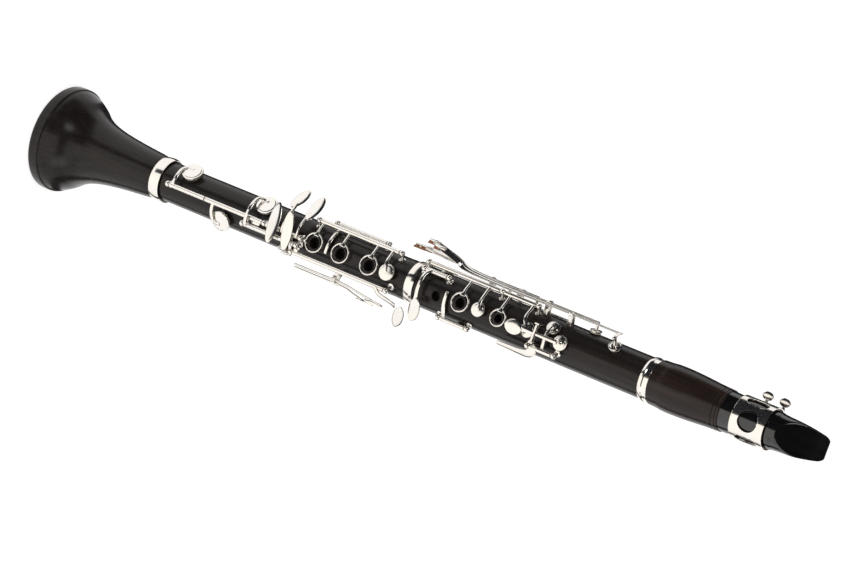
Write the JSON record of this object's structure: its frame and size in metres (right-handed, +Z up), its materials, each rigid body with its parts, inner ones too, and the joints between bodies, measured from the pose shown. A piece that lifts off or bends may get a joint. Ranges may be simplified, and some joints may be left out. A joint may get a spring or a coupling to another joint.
{
  "type": "clarinet",
  "caption": "Soprano clarinet with silver-plated keywork, dark wooden joints, flared bell, barrel, ligature and mouthpiece, standing on its bell.",
  "frame": {"origin": "centre of the bell's rim, on the plane that it stands on", "axes": "+Z up the bore to the mouthpiece, -Y the front with the finger rings, +X the player's left"},
  "size_m": [0.0808, 0.0808, 0.6652],
  "materials": {
    "grenadilla": "satin oiled, fine dark grain",
    "ebonite": "gloss",
    "cane": "matt cane",
    "cork": "matt cork",
    "pad_skin": "matt skin over felt",
    "steel": "polished",
    "ligature_metal": "silver plate, polished",
    "silver_plate": "silver plate, polished"
  },
  "bodies": {
    "body": {"barrel": "grenadilla", "barrel_ring": "silver_plate", "bell": "grenadilla", "bell_ring": "silver_plate", "hinge_rods": "steel", "keywork_posts": "silver_plate", "ligature_band": "ligature_metal", "lower_joint_body": "grenadilla", "lower_joint_ring": "silver_plate", "mouthpiece": "ebonite", "pivot_saddles": "silver_plate", "pivot_screws": "steel", "reed": "cane", "register_tube": "steel", "tenon_corks": "cork", "thumb_rest": "silver_plate", "thumb_rest_screws": "steel", "upper_joint_body": "grenadilla"},
    "e_b_key": {"e_b_key": "silver_plate", "e_b_key_pad": "pad_skin"},
    "f_c_key": {"f_c_key": "silver_plate", "f_c_key_pad": "pad_skin"},
    "f_c_lever": {"f_c_lever": "silver_plate"},
    "a_flat_key": {"a_flat_key": "silver_plate", "a_flat_key_pad": "pad_skin"},
    "f_sharp_key": {"f_sharp_key": "silver_plate", "f_sharp_key_pad": "pad_skin"},
    "left_f_sharp_lever": {"left_f_sharp_lever": "silver_plate"},
    "left_e_b_lever": {"left_e_b_lever": "silver_plate"},
    "left_f_c_lever": {"left_f_c_lever": "silver_plate"},
    "right_ring_key": {"right_ring_key": "silver_plate", "right_ring_key_pad": "pad_skin"},
    "right_sliver_key": {"right_sliver_key": "silver_plate", "right_sliver_key_pad": "pad_skin"},
    "left_second_ring_key": {"left_second_ring_key": "silver_plate", "left_second_ring_key_pad": "pad_skin"},
    "left_first_ring_key": {"left_first_ring_key": "silver_plate", "left_first_ring_key_pad": "pad_skin"},
    "c_sharp_key": {"c_sharp_key": "silver_plate", "c_sharp_key_pad": "pad_skin"},
    "left_sliver_key": {"left_sliver_key": "silver_plate", "left_sliver_key_pad": "pad_skin"},
    "throat_a_key": {"throat_a_key": "silver_plate", "throat_a_key_pad": "pad_skin"},
    "throat_g_sharp_key": {"throat_g_sharp_key": "silver_plate", "throat_g_sharp_key_pad": "pad_skin"},
    "thumb_ring_key": {"thumb_ring_key": "silver_plate", "thumb_ring_key_pad": "pad_skin"},
    "register_key": {"register_key": "silver_plate", "register_key_pad": "pad_skin"},
    "side_key_1": {"side_key_1": "silver_plate", "side_key_1_pad": "pad_skin"},
    "side_key_2": {"side_key_2": "silver_plate", "side_key_2_pad": "pad_skin"},
    "side_key_3": {"side_key_3": "silver_plate", "side_key_3_pad": "pad_skin"},
    "side_key_4": {"side_key_4": "silver_plate", "side_key_4_pad": "pad_skin"},
    "ligature_screw_1": {"ligature_screw_1": "ligature_metal"},
    "ligature_screw_2": {"ligature_screw_2": "ligature_metal"}
  },
  "joints": [
    {"name": "e_b_key_press", "type": "hinge", "parent": "body", "child": "e_b_key", "pos_m": [0.00035, -0.0198, 0.17], "axis": [0, 0, -1], "range_deg": [0, 7.5], "stiffness_Nm_per_rad": 0.06, "springref_deg": -8.59},
    {"name": "f_c_key_press", "type": "hinge", "parent": "body", "child": "f_c_key", "pos_m": [0.00035, -0.0198, 0.175], "axis": [0, 0, 1], "range_deg": [0, 7.5], "stiffness_Nm_per_rad": 0.06, "springref_deg": -8.59},
    {"name": "f_c_lever_press", "type": "hinge", "parent": "body", "child": "f_c_lever", "pos_m": [0.00035, -0.0198, 0.2235], "axis": [0, 0, -1], "range_deg": [0, 7.5]},
    {"name": "a_flat_key_press", "type": "hinge", "parent": "body", "child": "a_flat_key", "pos_m": [0.00035, -0.0198, 0.232], "axis": [0, 0, -1], "range_deg": [0, 4], "stiffness_Nm_per_rad": 0.06, "springref_deg": -8.59},
    {"name": "f_sharp_key_press", "type": "hinge", "parent": "body", "child": "f_sharp_key", "pos_m": [0.00627, -0.01931, 0.212], "axis": [0, 0, -1], "range_deg": [0, 6], "stiffness_Nm_per_rad": 0.06, "springref_deg": -8.59},
    {"name": "left_f_sharp_lever_press", "type": "hinge", "parent": "body", "child": "left_f_sharp_lever", "pos_m": [0.01202, -0.01782, 0.275], "axis": [0, 0, 1], "range_deg": [0, 3]},
    {"name": "left_e_b_lever_press", "type": "hinge", "parent": "body", "child": "left_e_b_lever", "pos_m": [0.01905, -0.011, 0.272], "axis": [-0.5, -0.866, 0], "range_deg": [0, 2.62]},
    {"name": "left_f_c_lever_press", "type": "hinge", "parent": "body", "child": "left_f_c_lever", "pos_m": [0.02179, -0.00306, 0.268], "axis": [-0.1392, -0.9903, 0], "range_deg": [0, 2.62]},
    {"name": "right_ring_key_press", "type": "hinge", "parent": "body", "child": "right_ring_key", "pos_m": [-0.01634, -0.01187, 0.28], "axis": [0, 0, 1], "range_deg": [0, 3.8], "stiffness_Nm_per_rad": 0.06, "springref_deg": -8.59},
    {"name": "right_sliver_key_press", "type": "hinge", "parent": "body", "child": "right_sliver_key", "pos_m": [-0.01834, -0.00457, 0.277], "axis": [0, 0, 1], "range_deg": [0, 3.8], "stiffness_Nm_per_rad": 0.06, "springref_deg": -8.59},
    {"name": "left_second_ring_key_press", "type": "hinge", "parent": "body", "child": "left_second_ring_key", "pos_m": [-0.01819, -0.0105, 0.37], "axis": [0, 0, 1], "range_deg": [0, 3.8], "stiffness_Nm_per_rad": 0.06, "springref_deg": -8.59},
    {"name": "left_first_ring_key_press", "type": "hinge", "parent": "body", "child": "left_first_ring_key", "pos_m": [-0.01819, -0.0105, 0.418], "axis": [0, 0, 1], "range_deg": [0, 3.8], "stiffness_Nm_per_rad": 0.06, "springref_deg": -8.59},
    {"name": "c_sharp_key_press", "type": "hinge", "parent": "body", "child": "c_sharp_key", "pos_m": [-0.01313, -0.0136, 0.35], "axis": [0, 0, 1], "range_deg": [0, 6], "stiffness_Nm_per_rad": 0.06, "springref_deg": -8.59},
    {"name": "left_sliver_key_press", "type": "hinge", "parent": "body", "child": "left_sliver_key", "pos_m": [0.01567, -0.01057, 0.373], "axis": [0, 0, -1], "range_deg": [0, 3.8], "stiffness_Nm_per_rad": 0.06, "springref_deg": -8.59},
    {"name": "throat_a_key_press", "type": "hinge", "parent": "body", "child": "throat_a_key", "pos_m": [-0.0008, -0.02279, 0.444], "axis": [0.9994, -0.0349, 0], "range_deg": [0, 3.5], "stiffness_Nm_per_rad": 0.06, "springref_deg": -8.59},
    {"name": "throat_g_sharp_key_press", "type": "hinge", "parent": "body", "child": "throat_g_sharp_key", "pos_m": [0.00926, -0.01818, 0.45], "axis": [0, 0, 1], "range_deg": [0, 5], "stiffness_Nm_per_rad": 0.06, "springref_deg": -8.59},
    {"name": "thumb_ring_key_press", "type": "hinge", "parent": "body", "child": "thumb_ring_key", "pos_m": [-0.01386, 0.01386, 0.432], "axis": [0, 0, -1], "range_deg": [0, 3.8], "stiffness_Nm_per_rad": 0.06, "springref_deg": -8.59},
    {"name": "register_key_press", "type": "hinge", "parent": "body", "child": "register_key", "pos_m": [0, 0.0206, 0.477], "axis": [-1, 0, 0], "range_deg": [0, 4.5], "stiffness_Nm_per_rad": 0.06, "springref_deg": -8.59},
    {"name": "side_key_1_press", "type": "hinge", "parent": "body", "child": "side_key_1", "pos_m": [-0.02198, 0.00568, 0.385], "axis": [-0.2504, -0.9681, 0], "range_deg": [0, 4.5], "stiffness_Nm_per_rad": 0.06, "springref_deg": -8.59},
    {"name": "side_key_2_press", "type": "hinge", "parent": "body", "child": "side_key_2", "pos_m": [-0.02267, 0.00119, 0.411], "axis": [-0.0523, -0.9986, 0], "range_deg": [0, 3.4], "stiffness_Nm_per_rad": 0.06, "springref_deg": -8.59},
    {"name": "side_key_3_press", "type": "hinge", "parent": "body", "child": "side_key_3", "pos_m": [-0.02245, -0.00335, 0.437], "axis": [0.1478, -0.989, 0], "range_deg": [0, 2.6], "stiffness_Nm_per_rad": 0.06, "springref_deg": -8.59},
    {"name": "side_key_4_press", "type": "hinge", "parent": "body", "child": "side_key_4", "pos_m": [-0.02133, -0.00776, 0.459], "axis": [0.342, -0.9397, 0], "range_deg": [0, 2.4], "stiffness_Nm_per_rad": 0.06, "springref_deg": -8.59},
    {"name": "ligature_screw_1_turn", "type": "hinge", "parent": "body", "child": "ligature_screw_1", "pos_m": [0, 0.0172, 0.6077], "axis": [-1, 0, 0], "continuous": true},
    {"name": "ligature_screw_2_turn", "type": "hinge", "parent": "body", "child": "ligature_screw_2", "pos_m": [0, 0.0172, 0.6212], "axis": [-1, 0, 0], "continuous": true}
  ],
  "couplings": [
    {"joint": "f_c_lever_press", "follows": "f_c_key_press", "ratio": 1},
    {"joint": "left_f_c_lever_press", "follows": "f_c_key_press", "ratio": 0.35},
    {"joint": "left_e_b_lever_press", "follows": "e_b_key_press", "ratio": 0.35},
    {"joint": "left_f_sharp_lever_press", "follows": "f_sharp_key_press", "ratio": 0.5}
  ]
}
